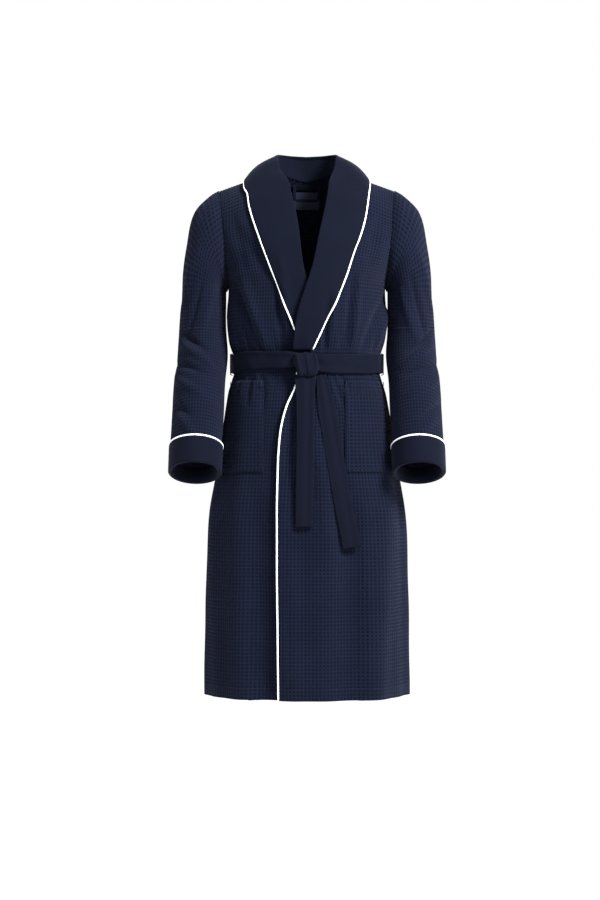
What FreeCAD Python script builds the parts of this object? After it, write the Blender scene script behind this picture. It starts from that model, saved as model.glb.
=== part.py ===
import FreeCAD, Part
import math
import os

# Tied waffle-weave bathrobe, in millimetres.
# Frame: origin at the middle of the neck opening, +Z up, -Y out of the front, +X towards the wearer's left arm.
# The wearer's left front lies over the right one. Soft pieces are plain sheets of cloth at their rest shape.

V = FreeCAD.Vector

# ---------------------------------------------------------------- driving dimensions
CLOTH = 2.4                 # thickness of the waffle cloth
COLLAR_CLOTH = 2.0          # thickness of the smooth collar, facing and cuff cloth
BELT_CLOTH = 3.0            # thickness of the belt, which is sewn double
PIPING_R = 1.9              # radius of the white piping cord
LAYER = 13.5                # the overlapping front lies this far outside the one under it
GAP = 1.0                   # smallest clearance between two sheets
PIPING_GAP = 2.7            # clearance between a piping and the cloth edge that it trims

HEM_Z = -1121.0             # bottom edge of the skirt
BELT_TOP_Z = -382.0
BELT_BOTTOM_Z = -421.0
BELT_Z = (BELT_TOP_Z + BELT_BOTTOM_Z) / 2

SECTION_POWER = 2.5         # roundness of the level sections of body and skirt
UNDERARM_Z = -230.0
SHOULDER_TIP = (190.0, -22.0)
SHOULDER_SLOPE = 0.36       # drop of the shoulder line per millimetre out from the neck
SHOULDER_ROUND = 75.0       # height over which the shoulder rounds over from front to back
SHOULDER_Y = 8.0            # the shoulder seam lies slightly behind the neck's middle
NECK_X = 70.0               # where the shoulder seam meets the collar

# level sections: (z, half width, depth in front, depth behind)
SECTIONS = [
    (60, 208, 46, 70),
    (0, 208, 66, 86),
    (-37, 208, 82, 96),
    (-129, 206, 122, 112),
    (-200, 180, 134, 114),
    (-230, 171, 137, 113),
    (-305, 174, 140, 108),
    (-350, 169, 136, 102),
    (-385, 159, 128, 95),
    (-420, 158, 127, 96),
    (-470, 172, 134, 110),
    (-570, 188, 139, 124),
    (-637, 198, 141, 128),
    (-720, 211, 142, 129),
    (-900, 216, 143, 130),
    (-1121, 217, 145, 132),
]

# edge of the armhole, seen from the front: (z, distance from the middle)
ARMHOLE = [(-22, 191), (-230, 171)]

# roll line of the overlapping lapel and of the lapel under it: (z, x)
LEFT_ROLL = [(40, 59), (10, 54), (-37, 47), (-129, 28), (-200, 13), (-270, -10), (-308, -20), (-378, -28)]
RIGHT_ROLL = [(40, -60), (-4, -45), (-91, -24), (-196, -10), (-233, -1), (-300, 20), (-378, 42)]
# piped outer edge of each lapel: (z, x)
LEFT_LAPEL = [(-37, 133), (-100, 122), (-179, 97), (-258, 67), (-322, 37), (-378, 10)]
RIGHT_LAPEL = [(-37, -128), (-58, -125), (-152, -95), (-220, -70), (-335, -24), (-378, -8)]
# piped front edge below the belt: (z, x)
LEFT_EDGE = [(-378, -26), (-420, -22), (-448, -23), (-494, -43), (-536, -54), (-585, -60), (-660, -63), (-1121, -62)]
RIGHT_EDGE_X = 118.0        # free edge of the front that lies underneath, below the belt

FACING_WIDTH = 62.0
CORNER_TOP_Z = -705.0       # the free corner of the overlap folds open about a slanted line from here
CORNER_HEM_X = 132.0        # to here on the hem

POCKET_TOP_Z = -440.0
POCKET_BOTTOM_Z = -636.0
POCKET_INNER_X = {"left": 80.0, "right": 92.0}
POCKET_OUTER_TURN = math.radians(66)
POCKET_BULGE = 13.0

# sleeve head: rings fanned about the underarm: (angle from upright in degrees, length, half depth)
UNDERARM = V(175, 0, -244)
UNDERARM_GATHER = 4.0       # the cloth stays this far from the point that the rings fan about
HEAD = [(10, 211, 81), (21, 188, 83), (42, 129, 84), (66, 103, 84), (90, 96, 84)]
# level rings of the sleeve: (z, inner x, outer x, middle y, half depth, forward tilt in degrees)
UPPER_ARM = [(-270, 179, 272, -3, 83, 0), (-300, 179, 275, -8, 81, 0), (-330, 178, 277, -12, 79, 0)]
LOWER_ARM = [(-332, 178, 277, -12, 79, 0), (-380, 175, 281, -25, 76, 9), (-434, 179, 285, -47, 73, 16),
             (-500, 181, 288, -72, 71, 19), (-570, 185, 290, -97, 69, 20), (-637, 187, 291, -120, 68, 20)]
CUFF_TOP_Z = -583.0
SLEEVE_END_Z = -634.0

TAIL_TOP_Z = -433.0
TAIL_WIDTH = 36.0
FRONT_TAIL = (V(-4, 0, TAIL_TOP_Z), V(-4, 0, -752))
SIDE_TAIL = (V(29, 0, TAIL_TOP_Z - 2), V(90, 0, -796))
TAIL_OUT = 19.5             # how far the tails hang in front of the section


# ---------------------------------------------------------------- interpolation
def along(table, key, column=1):
    """Smooth value of a column of a table whose first column falls or rises steadily."""
    rows = sorted(table)
    keys = [row[0] for row in rows]
    vals = [row[column] for row in rows]
    if key <= keys[0]:
        return vals[0]
    if key >= keys[-1]:
        return vals[-1]
    slopes = [(vals[i + 1] - vals[i]) / (keys[i + 1] - keys[i]) for i in range(len(keys) - 1)]
    i = max(k for k in range(len(keys) - 1) if keys[k] <= key)
    h = keys[i + 1] - keys[i]
    t = (key - keys[i]) / h
    before = slopes[i] if i == 0 else (slopes[i - 1] + slopes[i]) / 2
    after = slopes[i] if i == len(slopes) - 1 else (slopes[i] + slopes[i + 1]) / 2
    return (vals[i] * (1 + 2 * t) * (1 - t) ** 2 + vals[i + 1] * t * t * (3 - 2 * t)
            + h * before * t * (1 - t) ** 2 - h * after * t * t * (1 - t))


def mix(a, b, t):
    return a + (b - a) * t


def ease(t):
    t = min(max(t, 0.0), 1.0)
    return t * t * (3 - 2 * t)


# ---------------------------------------------------------------- shape of the body of the robe
def shoulder_z(x):
    """Height of the shoulder line at a distance x from the middle."""
    tip_x, tip_z = SHOULDER_TIP
    return tip_z + (tip_x - math.hypot(x, 20)) * SHOULDER_SLOPE


def rounding(x, z):
    """0 on the shoulder line, 1 well below it."""
    t = min(max((shoulder_z(x) - z) / SHOULDER_ROUND, 0.0), 1.0)
    return math.sqrt(1 - (1 - t) ** 2)


def turn_of_x(x, z):
    """Angle round the level section, 0 in front, 90 degrees at the wearer's left side."""
    share = min(max(x / along(SECTIONS, z, 1), -1.0), 1.0)
    return math.atan2(share, max(1 - abs(share) ** SECTION_POWER, 0.0) ** (1 / SECTION_POWER))


def section_point(turn, z, out=0.0):
    """Point on the level section at height z, pushed outwards by out."""
    sin_t, cos_t = math.sin(turn), math.cos(turn)
    reach = (abs(sin_t) ** SECTION_POWER + abs(cos_t) ** SECTION_POWER) ** (-1 / SECTION_POWER)
    depth = along(SECTIONS, z, 2) if cos_t > 0 else along(SECTIONS, z, 3)
    x = (along(SECTIONS, z, 1) + out) * reach * sin_t
    y = -(depth + out) * reach * cos_t
    return V(x, mix(SHOULDER_Y, y, rounding(x, z)), z)


def surface_point(x, z, out=0.0, back=False):
    """Point of the front or back at x and height z, lifted by out along the cloth's normal."""
    z = min(z, shoulder_z(x) - 0.01)
    turn = turn_of_x(x, z)
    point = section_point(math.pi - turn if back else turn, z)
    t = min((shoulder_z(x) - z) / SHOULDER_ROUND, 1.0)
    depth = along(SECTIONS, z, 3 if back else 2)
    normal = V(0, (1 if back else -1) * rounding(x, z) / depth, (1 - t) / SHOULDER_ROUND)
    return point + normal.normalize() * out


def armhole_x(z):
    return along(ARMHOLE, z)


# ---------------------------------------------------------------- solids from grids of points
def surface_face(grid):
    surface = Part.BSplineSurface()
    surface.interpolate(grid)
    return surface


def ruled(curve_a, curve_b):
    """Straight face between two curves that run the same way."""
    return Part.makeRuledSurface(curve_a.toShape(), curve_b.toShape(), 1)


def closed_solid(faces):
    shell = Part.makeShell(faces)
    shell.sewShape()
    if shell.ShapeType != "Shell":
        shell = shell.Shells[0]
    solid = Part.makeSolid(shell)
    if solid.Volume < 0:
        solid.reverse()
    assert solid.isValid() and solid.isClosed() and solid.Volume > 0, "not a closed solid"
    return solid


def normals(grid):
    """Unit normals of a grid, pointing away from the wearer where the columns run towards +X seen from the front."""
    rows, cols = len(grid), len(grid[0])
    result = []
    for i in range(rows):
        line = []
        for j in range(cols):
            down = grid[min(i + 1, rows - 1)][j] - grid[max(i - 1, 0)][j]
            side = grid[i][min(j + 1, cols - 1)] - grid[i][max(j - 1, 0)]
            normal = down.cross(side)
            line.append(normal.normalize() if normal.Length > 1e-9 else line[-1])
        result.append(line)
    return result


def offset_grid(grid, distance):
    return [[p + n * distance for p, n in zip(line, line_n)] for line, line_n in zip(grid, normals(grid))]


def sheet_between(low, high):
    """Closed solid between two grids of the same shape."""
    a, b = surface_face(low), surface_face(high)
    faces = [a.toShape(), b.toShape()]
    u0, u1, v0, v1 = a.bounds()
    for u in (u0, u1):
        faces.append(ruled(a.uIso(u), b.uIso(u)))
    for v in (v0, v1):
        faces.append(ruled(a.vIso(v), b.vIso(v)))
    return closed_solid(faces)


def sheet(grid, thickness):
    """Closed solid of a sheet of cloth whose middle surface is the grid."""
    return sheet_between(offset_grid(grid, -thickness / 2), offset_grid(grid, thickness / 2))


def closed_wire(ring):
    curve = Part.BSplineCurve()
    curve.interpolate(ring, PeriodicFlag=True)
    return Part.Wire(curve.toShape())


def loft(rings):
    """Closed solid through closed rings of points."""
    solid = Part.makeLoft([closed_wire(ring) for ring in rings], True, False)
    if solid.Volume < 0:
        solid.reverse()
    return solid


def tube(rings, thickness):
    """Open tube whose middle surface runs through the rings; its end rings are flat."""
    faces, ends = [], []
    for sign in (1, -1):
        wires = []
        for ring in rings:
            middle = sum(ring, V()) * (1 / len(ring))
            wires.append(closed_wire([p + (p - middle).normalize() * (sign * thickness / 2) for p in ring]))
        faces += Part.makeLoft(wires, False, False).Faces
        ends.append((wires[0], wires[-1]))
    for outer, inner in zip(*ends):
        faces.append(Part.makeFace([outer, inner], "Part::FaceMakerBullseye"))
    return closed_solid(faces)


def rod(path, radius):
    """Round cord along a path of points; its sections are carried along without twisting."""
    rings, side = [], V(0.31, 0.52, 0.79)
    for i, point in enumerate(path):
        ahead = (path[min(i + 1, len(path) - 1)] - path[max(i - 1, 0)]).normalize()
        side = (side - ahead * side.dot(ahead)).normalize()
        up = side.cross(ahead)
        turns = [k * math.pi / 4 for k in range(8)]
        rings.append([point + side * (radius * math.cos(t)) + up * (radius * math.sin(t)) for t in turns])
    return loft(rings)


def steps(count, power=1.0):
    return [(i / count) ** power for i in range(count + 1)]


# ---------------------------------------------------------------- fronts and back
SEAM = 0.009                # half the angle left open at each side seam
UNDERARM_SEAM = 0.02        # and what is added to it next to the underarm
UPPER_ROWS, SKIRT_ROWS = 26, 24
CORNER_GAP = 2.0            # clearance on each side of the slanted fold line


def side_x(z):
    return along(SECTIONS, z, 1)


def corner_x(z):
    """The slanted fold line of the free corner."""
    start_x = along(LEFT_EDGE, CORNER_TOP_Z)
    return mix(start_x, CORNER_HEM_X, (CORNER_TOP_Z - z) / (CORNER_TOP_Z - HEM_Z))


def left_out(x, z):
    """How far the overlapping front stands off the section: full over the other front, none at side and shoulder."""
    sideways = 1 - ease((x - RIGHT_EDGE_X) / (side_x(z) - RIGHT_EDGE_X))
    return LAYER * sideways * ease((-60 - z) / 120)


def flat_out(x, z):
    return 0.0


def left_inner_x(z):
    if z > -378:
        return along(LEFT_ROLL, z) + 4
    edge = along(LEFT_EDGE, z) + PIPING_R + PIPING_GAP
    return max(edge, corner_x(z) + CORNER_GAP) if z < CORNER_TOP_Z else edge


def right_inner_x(z):
    return along(RIGHT_ROLL, z) - 4 if z > -378 else mix(38, RIGHT_EDGE_X, ease((-378 - z) / 120))


def end_turn(z, sign):
    """Angle of the armhole edge or side seam."""
    seam = SEAM + UNDERARM_SEAM * math.exp(-((z - UNDERARM_Z + 15) / 35) ** 2)
    if z > UNDERARM_Z:
        return sign * min(turn_of_x(armhole_x(z), z), math.pi / 2 - seam)
    return sign * (math.pi / 2 - seam)


def front_grid(inner_x, sign, out):
    """A whole front: rows crowd towards the shoulder line, columns run from the front edge to the side."""
    grid = []
    for v in steps(UPPER_ROWS, 1.8):
        line = []
        for u in steps(9):
            z = mix(0, BELT_Z, v)
            for _ in range(12):
                turn = mix(turn_of_x(inner_x(z), z), end_turn(z, sign), u)
                point = section_point(turn, z)
                z = mix(shoulder_z(point.x) - 0.06, BELT_Z, v)
            line.append(point + V(0, -out(point.x, z), 0))
        grid.append(line)
    for v in steps(SKIRT_ROWS, 1.2)[1:]:
        z = mix(BELT_Z, HEM_Z, v)
        turns = [mix(turn_of_x(inner_x(z), z), end_turn(z, sign), u) for u in steps(9)]
        points = [section_point(turn, z) for turn in turns]
        grid.append([p + V(0, -out(p.x, z), 0) for p in points])
    return grid if sign > 0 else [line[::-1] for line in grid]


def back_top_z(x):
    """Top edge of the back: the neck seam between the shoulder seams."""
    if abs(x) >= NECK_X:
        return shoulder_z(x) - 0.06
    return mix(6, shoulder_z(NECK_X), ease(abs(x) / NECK_X))


def back_grid():
    grid = []
    heights = [(v, None) for v in steps(UPPER_ROWS, 1.8)]
    heights += [(0, mix(BELT_Z, HEM_Z, v)) for v in steps(SKIRT_ROWS, 1.2)[1:]]
    for v, level in heights:
        line = []
        for u in steps(20):
            z = mix(0, BELT_Z, v) if level is None else level
            for _ in range(12):
                reach = end_turn(z, 1)
                point = section_point(math.pi - mix(-reach, reach, u), z)
                z = mix(back_top_z(point.x), BELT_Z, v) if level is None else level
            line.append(point)
        grid.append(line)
    return grid


def skirt_strip(left_x, right_x, out, top_z, bottom_z, rows=10, cols=6):
    """Strip of a front between two edges given as functions of height."""
    grid = []
    for v in steps(rows):
        z = mix(top_z, bottom_z, v)
        turns = [mix(turn_of_x(left_x(z), z), turn_of_x(right_x(z), z), u) for u in steps(cols)]
        points = [section_point(turn, z) for turn in turns]
        grid.append([p + V(0, -out(p.x, z), 0) for p in points])
    return grid


def panels():
    corner_left = lambda z: along(LEFT_EDGE, z) + PIPING_R + PIPING_GAP
    corner_right = lambda z: max(corner_x(z) - CORNER_GAP, corner_left(z) + 2)
    corner = skirt_strip(corner_left, corner_right, left_out, CORNER_TOP_Z - 20, HEM_Z, 20)
    return {
        "back_panel": sheet(back_grid(), CLOTH),
        "left_front_panel": sheet(front_grid(left_inner_x, 1, left_out), CLOTH),
        "left_front_corner": sheet(corner, CLOTH),
        "right_front_panel": sheet(front_grid(right_inner_x, -1, flat_out), CLOTH),
    }


def facings():
    """Smooth strips sewn behind the free front edges, below the belt."""
    behind = CLOTH / 2 + 1.5 * GAP + COLLAR_CLOTH / 2
    left_edge = lambda z: along(LEFT_EDGE, z) + PIPING_R + PIPING_GAP
    above = lambda z: max(left_edge(z), corner_x(z) + CORNER_GAP)
    left_end = lambda z: left_edge(z) + FACING_WIDTH
    out = lambda x, z: left_out(x, z) - behind - 5 * GAP
    stop_z = CORNER_TOP_Z - 60
    room = lambda z: max(corner_x(z) - CORNER_GAP - left_edge(z), 2.0)
    corner_end = lambda z: left_edge(z) + FACING_WIDTH * math.tanh(room(z) / FACING_WIDTH)
    inner = skirt_strip(lambda z: RIGHT_EDGE_X - FACING_WIDTH, lambda z: RIGHT_EDGE_X, lambda x, z: -behind,
                        -500, HEM_Z, 20)
    return {
        "left_facing": sheet(skirt_strip(above, left_end, out, -428, stop_z, 20), COLLAR_CLOTH),
        "corner_facing": sheet(skirt_strip(left_edge, corner_end, out, CORNER_TOP_Z - 20, HEM_Z, 20), COLLAR_CLOTH),
        "right_facing": sheet(inner, COLLAR_CLOTH),
    }


# ---------------------------------------------------------------- collar and piping
# roll line round the neck from the centre back, with the outer edge beside it: (roll point, outer x, outer z, on back)
NECK_STATIONS = [
    (V(1.6, 64, 60), 1.6, -16, True),
    (V(34, 58, 61), 50, -17, True),
    (V(56, 38, 61), 92, -17, True),
    (V(65, 19, 59), 118, -9, True),
    (V(67, 2, 53), 130, 99, False),
    (V(65, -16, 41), 136, -10, False),
    (V(60, -36, 20), 135, -26, False),
]
COLLAR_LIFT = CLOTH / 2 + 2.9 * GAP + COLLAR_CLOTH + GAP + COLLAR_CLOTH / 2


def collar_grid(side, roll, lapel, out, lift):
    """Fall of the collar and lapel: rows run from the centre back to the belt, columns from roll line to outer edge."""
    grid = []
    for roll_point, outer_x, outer_z, on_back in NECK_STATIONS:
        outer = surface_point(outer_x, outer_z, lift, on_back)
        line = []
        for w in steps(6):
            point = mix(roll_point, outer, w)
            swell = V(point.x - 1.6, point.y, 70)
            point = point + swell.normalize() * (9 * math.sin(math.pi * w))
            line.append(V(side * point.x, point.y, point.z))
        grid.append(line)
    for v in steps(14):
        roll_z, lapel_z = mix(-10, -376, v), mix(-40, -376, v)
        line = []
        for w in steps(6):
            z = mix(roll_z, lapel_z, w)
            x = mix(along(roll, roll_z), along(lapel, lapel_z), w)
            line.append(surface_point(x, z, lift + out(x, z)))
        grid.append(line)
    return grid


def collars():
    parts = {}
    for name, side, roll, lapel, out in (("left", 1, LEFT_ROLL, LEFT_LAPEL, left_out),
                                         ("right", -1, RIGHT_ROLL, RIGHT_LAPEL, flat_out)):
        grid = collar_grid(side, roll, lapel, out, COLLAR_LIFT)
        under = offset_grid(grid, -side * (COLLAR_CLOTH + GAP))
        parts[name + "_collar"] = sheet(grid, COLLAR_CLOTH)
        parts[name + "_under_collar"] = sheet([line[1:] for line in under], COLLAR_CLOTH)
        edge = []
        for line in grid:
            outwards = (line[-1] - line[-2]).normalize()
            edge.append(line[-1] + outwards * (PIPING_R + PIPING_GAP))
        parts[name + "_collar_piping"] = rod(edge, PIPING_R)
    return parts


def front_pipings():
    left = [section_point(turn_of_x(along(LEFT_EDGE, z), z), z) + V(0, -LAYER, 0)
            for z in [mix(-430, CORNER_TOP_Z - 2, v) for v in steps(10)]]
    corner = [section_point(turn_of_x(along(LEFT_EDGE, z), z), z) + V(0, -LAYER, 0)
              for z in [mix(CORNER_TOP_Z - 5, HEM_Z, v) for v in steps(10)]]
    right = [section_point(turn_of_x(RIGHT_EDGE_X + PIPING_R + PIPING_GAP, z), z)
             for z in [mix(-505, HEM_Z, v) for v in steps(12)]]
    return {
        "left_front_piping": rod(left, PIPING_R),
        "corner_piping": rod(corner, PIPING_R),
        "right_front_piping": rod(right, PIPING_R),
    }


# ---------------------------------------------------------------- sleeves
RING_POINTS = 20


def ring_turns():
    return [2 * math.pi * k / RING_POINTS for k in range(RING_POINTS)]


def armhole_ring(side):
    """Ring along the armhole seam, just outside the edges of front and back."""
    top_z, low_z = SHOULDER_TIP[1], UNDERARM_Z
    ring = []
    for turn in ring_turns():
        z = (top_z + low_z) / 2 + (top_z - low_z) / 2 * math.cos(turn)
        z = min(max(z, low_z + 0.05), top_z - 0.05)
        front = math.sin(turn) > 0
        angle = end_turn(z, 1)
        point = section_point(angle if front else math.pi - angle, z)
        if abs(math.sin(turn)) < 1e-6:
            point.y = SHOULDER_Y if math.cos(turn) > 0 else 0
        ring.append(V(side * (armhole_x(z) + CLOTH + GAP), point.y, point.z))
    return ring


def head_ring(side, angle_deg, length, half_depth):
    angle = math.radians(angle_deg)
    reach = V(math.sin(angle), 0, math.cos(angle))
    ring = []
    for turn in ring_turns():
        distance = mix(UNDERARM_GATHER, length, (1 + math.cos(turn)) / 2)
        point = UNDERARM + reach * distance + V(0, -half_depth * math.sin(turn), 0)
        ring.append(V(side * point.x, point.y, point.z))
    return ring


def arm_ring(side, z, inner_x, outer_x, middle_y, half_depth, tilt_deg, grow=0.0):
    """Level ring of the sleeve, its front raised by the tilt."""
    tilt = math.radians(tilt_deg)
    half_width = (outer_x - inner_x) / 2 + grow
    ring = []
    for turn in ring_turns():
        forward = (half_depth + grow) * math.sin(turn)
        x = (inner_x + outer_x) / 2 + half_width * math.cos(turn)
        ring.append(V(side * x, middle_y - forward * math.cos(tilt), z + forward * math.sin(tilt)))
    return ring


def arm_row(z):
    """Ring values of the lower sleeve at a height between the listed ones."""
    return [z] + [along(LOWER_ARM, z, k) for k in range(1, 6)]


def sleeves():
    parts = {}
    for name, side in (("left", 1), ("right", -1)):
        head = [head_ring(side, *row) for row in HEAD]
        upper = [armhole_ring(side)] + head + [arm_ring(side, *row) for row in UPPER_ARM]
        lower = [arm_ring(side, *row) for row in LOWER_ARM]
        grow = CLOTH / 2 + GAP + COLLAR_CLOTH / 2
        cuff = [arm_ring(side, *arm_row(z), grow) for z in (CUFF_TOP_Z, -600, -618, SLEEVE_END_Z)]
        piping = [arm_ring(side, *arm_row(CUFF_TOP_Z + GAP + dz), grow + GAP) for dz in (0, PIPING_R, 2 * PIPING_R)]
        parts[name + "_upper_sleeve"] = tube(upper, CLOTH)
        parts[name + "_lower_sleeve"] = tube(lower, CLOTH)
        parts[name + "_cuff"] = tube(cuff, COLLAR_CLOTH)
        parts[name + "_cuff_piping"] = tube(piping, 2 * PIPING_R)
    return parts


# ---------------------------------------------------------------- pockets
def pocket_grid(name):
    side = 1 if name == "left" else -1
    grid = []
    for v in steps(8):
        z = mix(POCKET_BOTTOM_Z, POCKET_TOP_Z, v)
        line = []
        for u in steps(8):
            turn = mix(turn_of_x(POCKET_INNER_X[name], z), POCKET_OUTER_TURN, u)
            out = CLOTH + GAP + POCKET_BULGE * math.sin(math.pi * u) * math.sqrt(v)
            point = section_point(side * turn, z, out)
            if side > 0:
                point = point + V(0, -left_out(point.x, z), 0)
            line.append(point)
        grid.append(line)
    return grid


def pockets():
    return {name + "_pocket": sheet(pocket_grid(name), CLOTH) for name in ("left", "right")}


# ---------------------------------------------------------------- belt
BELT_OUT = CLOTH / 2 + 3.4 * GAP + BELT_CLOTH / 2


def belt_out(x):
    """Extra depth where the belt passes over the overlapping front."""
    if x > 0:
        return left_out(x, BELT_Z)
    return LAYER * ease((x + 95) / 60)


def waistband():
    rings = []
    for z in steps(3):
        level = mix(BELT_BOTTOM_Z, BELT_TOP_Z, z)
        ring = []
        for k in range(40):
            turn = 2 * math.pi * k / 40
            point = section_point(turn, level, BELT_OUT)
            extra = belt_out(point.x) if math.cos(turn) > 0 else 0
            ring.append(V(point.x, point.y - extra, level))
        rings.append(ring)
    return tube(rings, BELT_CLOTH)


def knot():
    front_y = section_point(0, BELT_TOP_Z, BELT_OUT + BELT_CLOTH / 2).y - LAYER - GAP
    block = Part.makeBox(46, 15, 44, V(-24, front_y - 15, BELT_BOTTOM_Z - 7))
    return block.makeFillet(5, block.Edges)


def tail(start, end, top_width, out):
    along_tail = (end - start).normalize()
    across = V(-along_tail.z, 0, along_tail.x)
    grid = []
    for v in steps(12):
        middle = start + (end - start) * v
        half = mix(top_width, TAIL_WIDTH, ease(v * 5)) / 2
        line = []
        for u in steps(3):
            point = middle + across * mix(-half, half, u)
            line.append(surface_point(point.x, point.z, out))
        grid.append(line)
    return sheet(grid, BELT_CLOTH)


def belt_loop(side):
    """Narrow strap over the belt at the side seam, sewn on above and below it."""
    inner, outer = side_x(BELT_TOP_Z + 5) + CLOTH / 2 + GAP, side_x(BELT_Z) + 11.4
    top, low, strap = BELT_TOP_Z + 5, BELT_BOTTOM_Z - 5, 1.4
    outline = [(inner, top), (outer, top - 2), (outer, low + 2), (inner, low),
               (inner, low + strap), (outer - strap, low + 2 + strap), (outer - strap, top - 2 - strap),
               (inner, top - strap)]
    wire = Part.makePolygon([V(side * x, 6, z) for x, z in outline + outline[:1]])
    return Part.Face(wire).extrude(V(0, 8, 0))


def belt():
    return {
        "belt_waistband": waistband(),
        "belt_knot": knot(),
        "belt_tail_front": tail(*FRONT_TAIL, 32, TAIL_OUT + 1),
        "belt_tail_side": tail(*SIDE_TAIL, 22, TAIL_OUT),
        "left_belt_loop": belt_loop(1),
        "right_belt_loop": belt_loop(-1),
    }


# ---------------------------------------------------------------- inside the neck, labels and bar tacks
def inside_strip(half_width, top_z, low_z, depth, thickness):
    """Thin strip sewn inside the back of the neck, depth behind the back panel's middle."""
    grid = []
    for z in (top_z, (top_z + low_z) / 2, low_z):
        grid.append([surface_point(mix(-half_width, half_width, u), z, -depth, True) for u in steps(6)])
    return sheet(grid, thickness)


LOOP_HALF, LOOP_DROP, LOOP_STRAP = 30.0, 36.0, 6.0
LOOP_TOP_Z = -2.0
LOOP_INSIDE = 10.2          # from the middle of the back panel to the inner face of the loop


def hanging_loop():
    """Strap loop to hang the robe by: a U that hangs down inside the neck."""
    y = surface_point(0, LOOP_TOP_Z, 0, True).y - LOOP_INSIDE
    outer = Part.makeBox(2 * LOOP_HALF, 1.6, LOOP_DROP, V(-LOOP_HALF, y, LOOP_TOP_Z - LOOP_DROP))
    outer = outer.makeFillet(12, [e for e in outer.Edges if e.Length < 2 and e.BoundBox.ZMin < LOOP_TOP_Z - 20])
    hole = Part.makeBox(2 * (LOOP_HALF - LOOP_STRAP), 5, LOOP_DROP,
                        V(-LOOP_HALF + LOOP_STRAP, y - 2, LOOP_TOP_Z - LOOP_DROP + LOOP_STRAP))
    return outer.cut(hole).Solids[0]


def care_label():
    """Blank label sewn into the left side seam."""
    return Part.makeBox(1.0, 28, 46, V(side_x(-560) - 10, 4, -583))


TACK_WIDTH, TACK_LENGTH, TACK_DROP = 1.4, 10.0, 7.0


def bar_tacks():
    """Dense stitches at the upper corners of both pockets."""
    tacks = []
    z = POCKET_TOP_Z - TACK_DROP
    for name, side in (("left", 1), ("right", -1)):
        for turn in (turn_of_x(POCKET_INNER_X[name], z), POCKET_OUTER_TURN):
            centre = section_point(side * turn, z, 1.5 * CLOTH + 5 * GAP)
            if side > 0:
                centre = centre - V(0, left_out(centre.x, z), 0)
            corner = centre - V(TACK_WIDTH, TACK_WIDTH, TACK_LENGTH) * 0.5
            tacks.append(Part.makeBox(TACK_WIDTH, TACK_WIDTH, TACK_LENGTH, corner))
    return Part.makeCompound(tacks)


def trims():
    return {
        "neck_tape": inside_strip(52, 0, -9, CLOTH / 2 + GAP + 0.6, 1.2),
        "neck_label": inside_strip(28, -14, -52, CLOTH / 2 + GAP + 0.4, 0.8),
        "hanging_loop": hanging_loop(),
        "care_label": care_label(),
        "pocket_bar_tacks": bar_tacks(),
    }


def build():
    parts = {}
    for group in (panels, facings, collars, front_pipings, sleeves, pockets, belt, trims):
        parts.update(group())
    return parts


if __name__ == "__main__":
    os.makedirs("parts", exist_ok=True)
    for node, shape in build().items():
        shape.exportStep("parts/" + node + ".step")
        print(node, round(shape.Volume / 1000, 1), "cm3", len(shape.Solids), "solid(s)")
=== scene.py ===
import bpy
import bmesh
import math
import mathutils
import numpy as np
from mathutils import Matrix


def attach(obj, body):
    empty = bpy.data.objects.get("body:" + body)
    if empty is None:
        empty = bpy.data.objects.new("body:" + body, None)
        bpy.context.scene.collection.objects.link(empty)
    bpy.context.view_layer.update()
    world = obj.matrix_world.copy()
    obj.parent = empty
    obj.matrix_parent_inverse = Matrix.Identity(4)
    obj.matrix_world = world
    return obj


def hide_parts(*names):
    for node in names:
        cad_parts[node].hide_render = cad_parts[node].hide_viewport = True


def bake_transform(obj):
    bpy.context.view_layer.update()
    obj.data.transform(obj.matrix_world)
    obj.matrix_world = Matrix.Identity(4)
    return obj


# Tied waffle-weave bathrobe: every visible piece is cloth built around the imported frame.
# Shapes are worked out in millimetres in the frame's axes (+Z up, -Y out of the front, +X the wearer's left).

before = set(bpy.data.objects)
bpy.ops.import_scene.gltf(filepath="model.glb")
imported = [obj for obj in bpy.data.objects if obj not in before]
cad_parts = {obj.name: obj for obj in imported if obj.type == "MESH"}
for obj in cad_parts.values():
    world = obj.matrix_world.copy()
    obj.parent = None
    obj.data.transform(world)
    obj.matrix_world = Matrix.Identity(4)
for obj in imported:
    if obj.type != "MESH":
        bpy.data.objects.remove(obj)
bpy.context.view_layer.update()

MM = 0.001

# ---------------------------------------------------------------- dimensions shared with the CAD model
CLOTH = 2.2
LAYER = 13.5
HEM_Z = -1121.0
BELT_TOP_Z, BELT_BOTTOM_Z = -382.0, -421.0
BELT_Z = (BELT_TOP_Z + BELT_BOTTOM_Z) / 2
CROSSING_Z = -378.0         # the lapels end here, where the fronts cross
POWER = 2.5
UNDERARM_Z = -230.0
SHOULDER_TIP_X, SHOULDER_TIP_Z = 191.0, -22.0
SHOULDER_SLOPE = 0.36
SHOULDER_ROUND = 75.0
SHOULDER_Y = 8.0
NECK_X = 70.0

SECTIONS = np.array([
    (60, 208, 46, 70), (0, 208, 66, 86), (-37, 208, 82, 96), (-129, 206, 122, 112), (-200, 180, 134, 114),
    (-230, 171, 137, 113), (-305, 174, 140, 108), (-350, 169, 136, 102), (-385, 159, 128, 95),
    (-420, 158, 127, 96), (-470, 172, 134, 110), (-570, 188, 139, 124), (-637, 198, 141, 128),
    (-720, 211, 142, 129), (-900, 216, 143, 130), (-1121, 217, 145, 132)], float)
ARMHOLE = np.array([(-22, 191), (-230, 171)], float)
LEFT_ROLL = np.array([
    (40, 59), (10, 54), (-37, 47), (-129, 28), (-200, 13), (-270, -10), (-308, -20), (-378, -28)], float)
RIGHT_ROLL = np.array([
    (40, -60), (-4, -45), (-91, -24), (-196, -10), (-233, -1), (-300, 20), (-378, 42)], float)
LEFT_LAPEL = np.array([(-37, 133), (-100, 122), (-179, 97), (-258, 67), (-322, 37), (-378, 10)], float)
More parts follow.
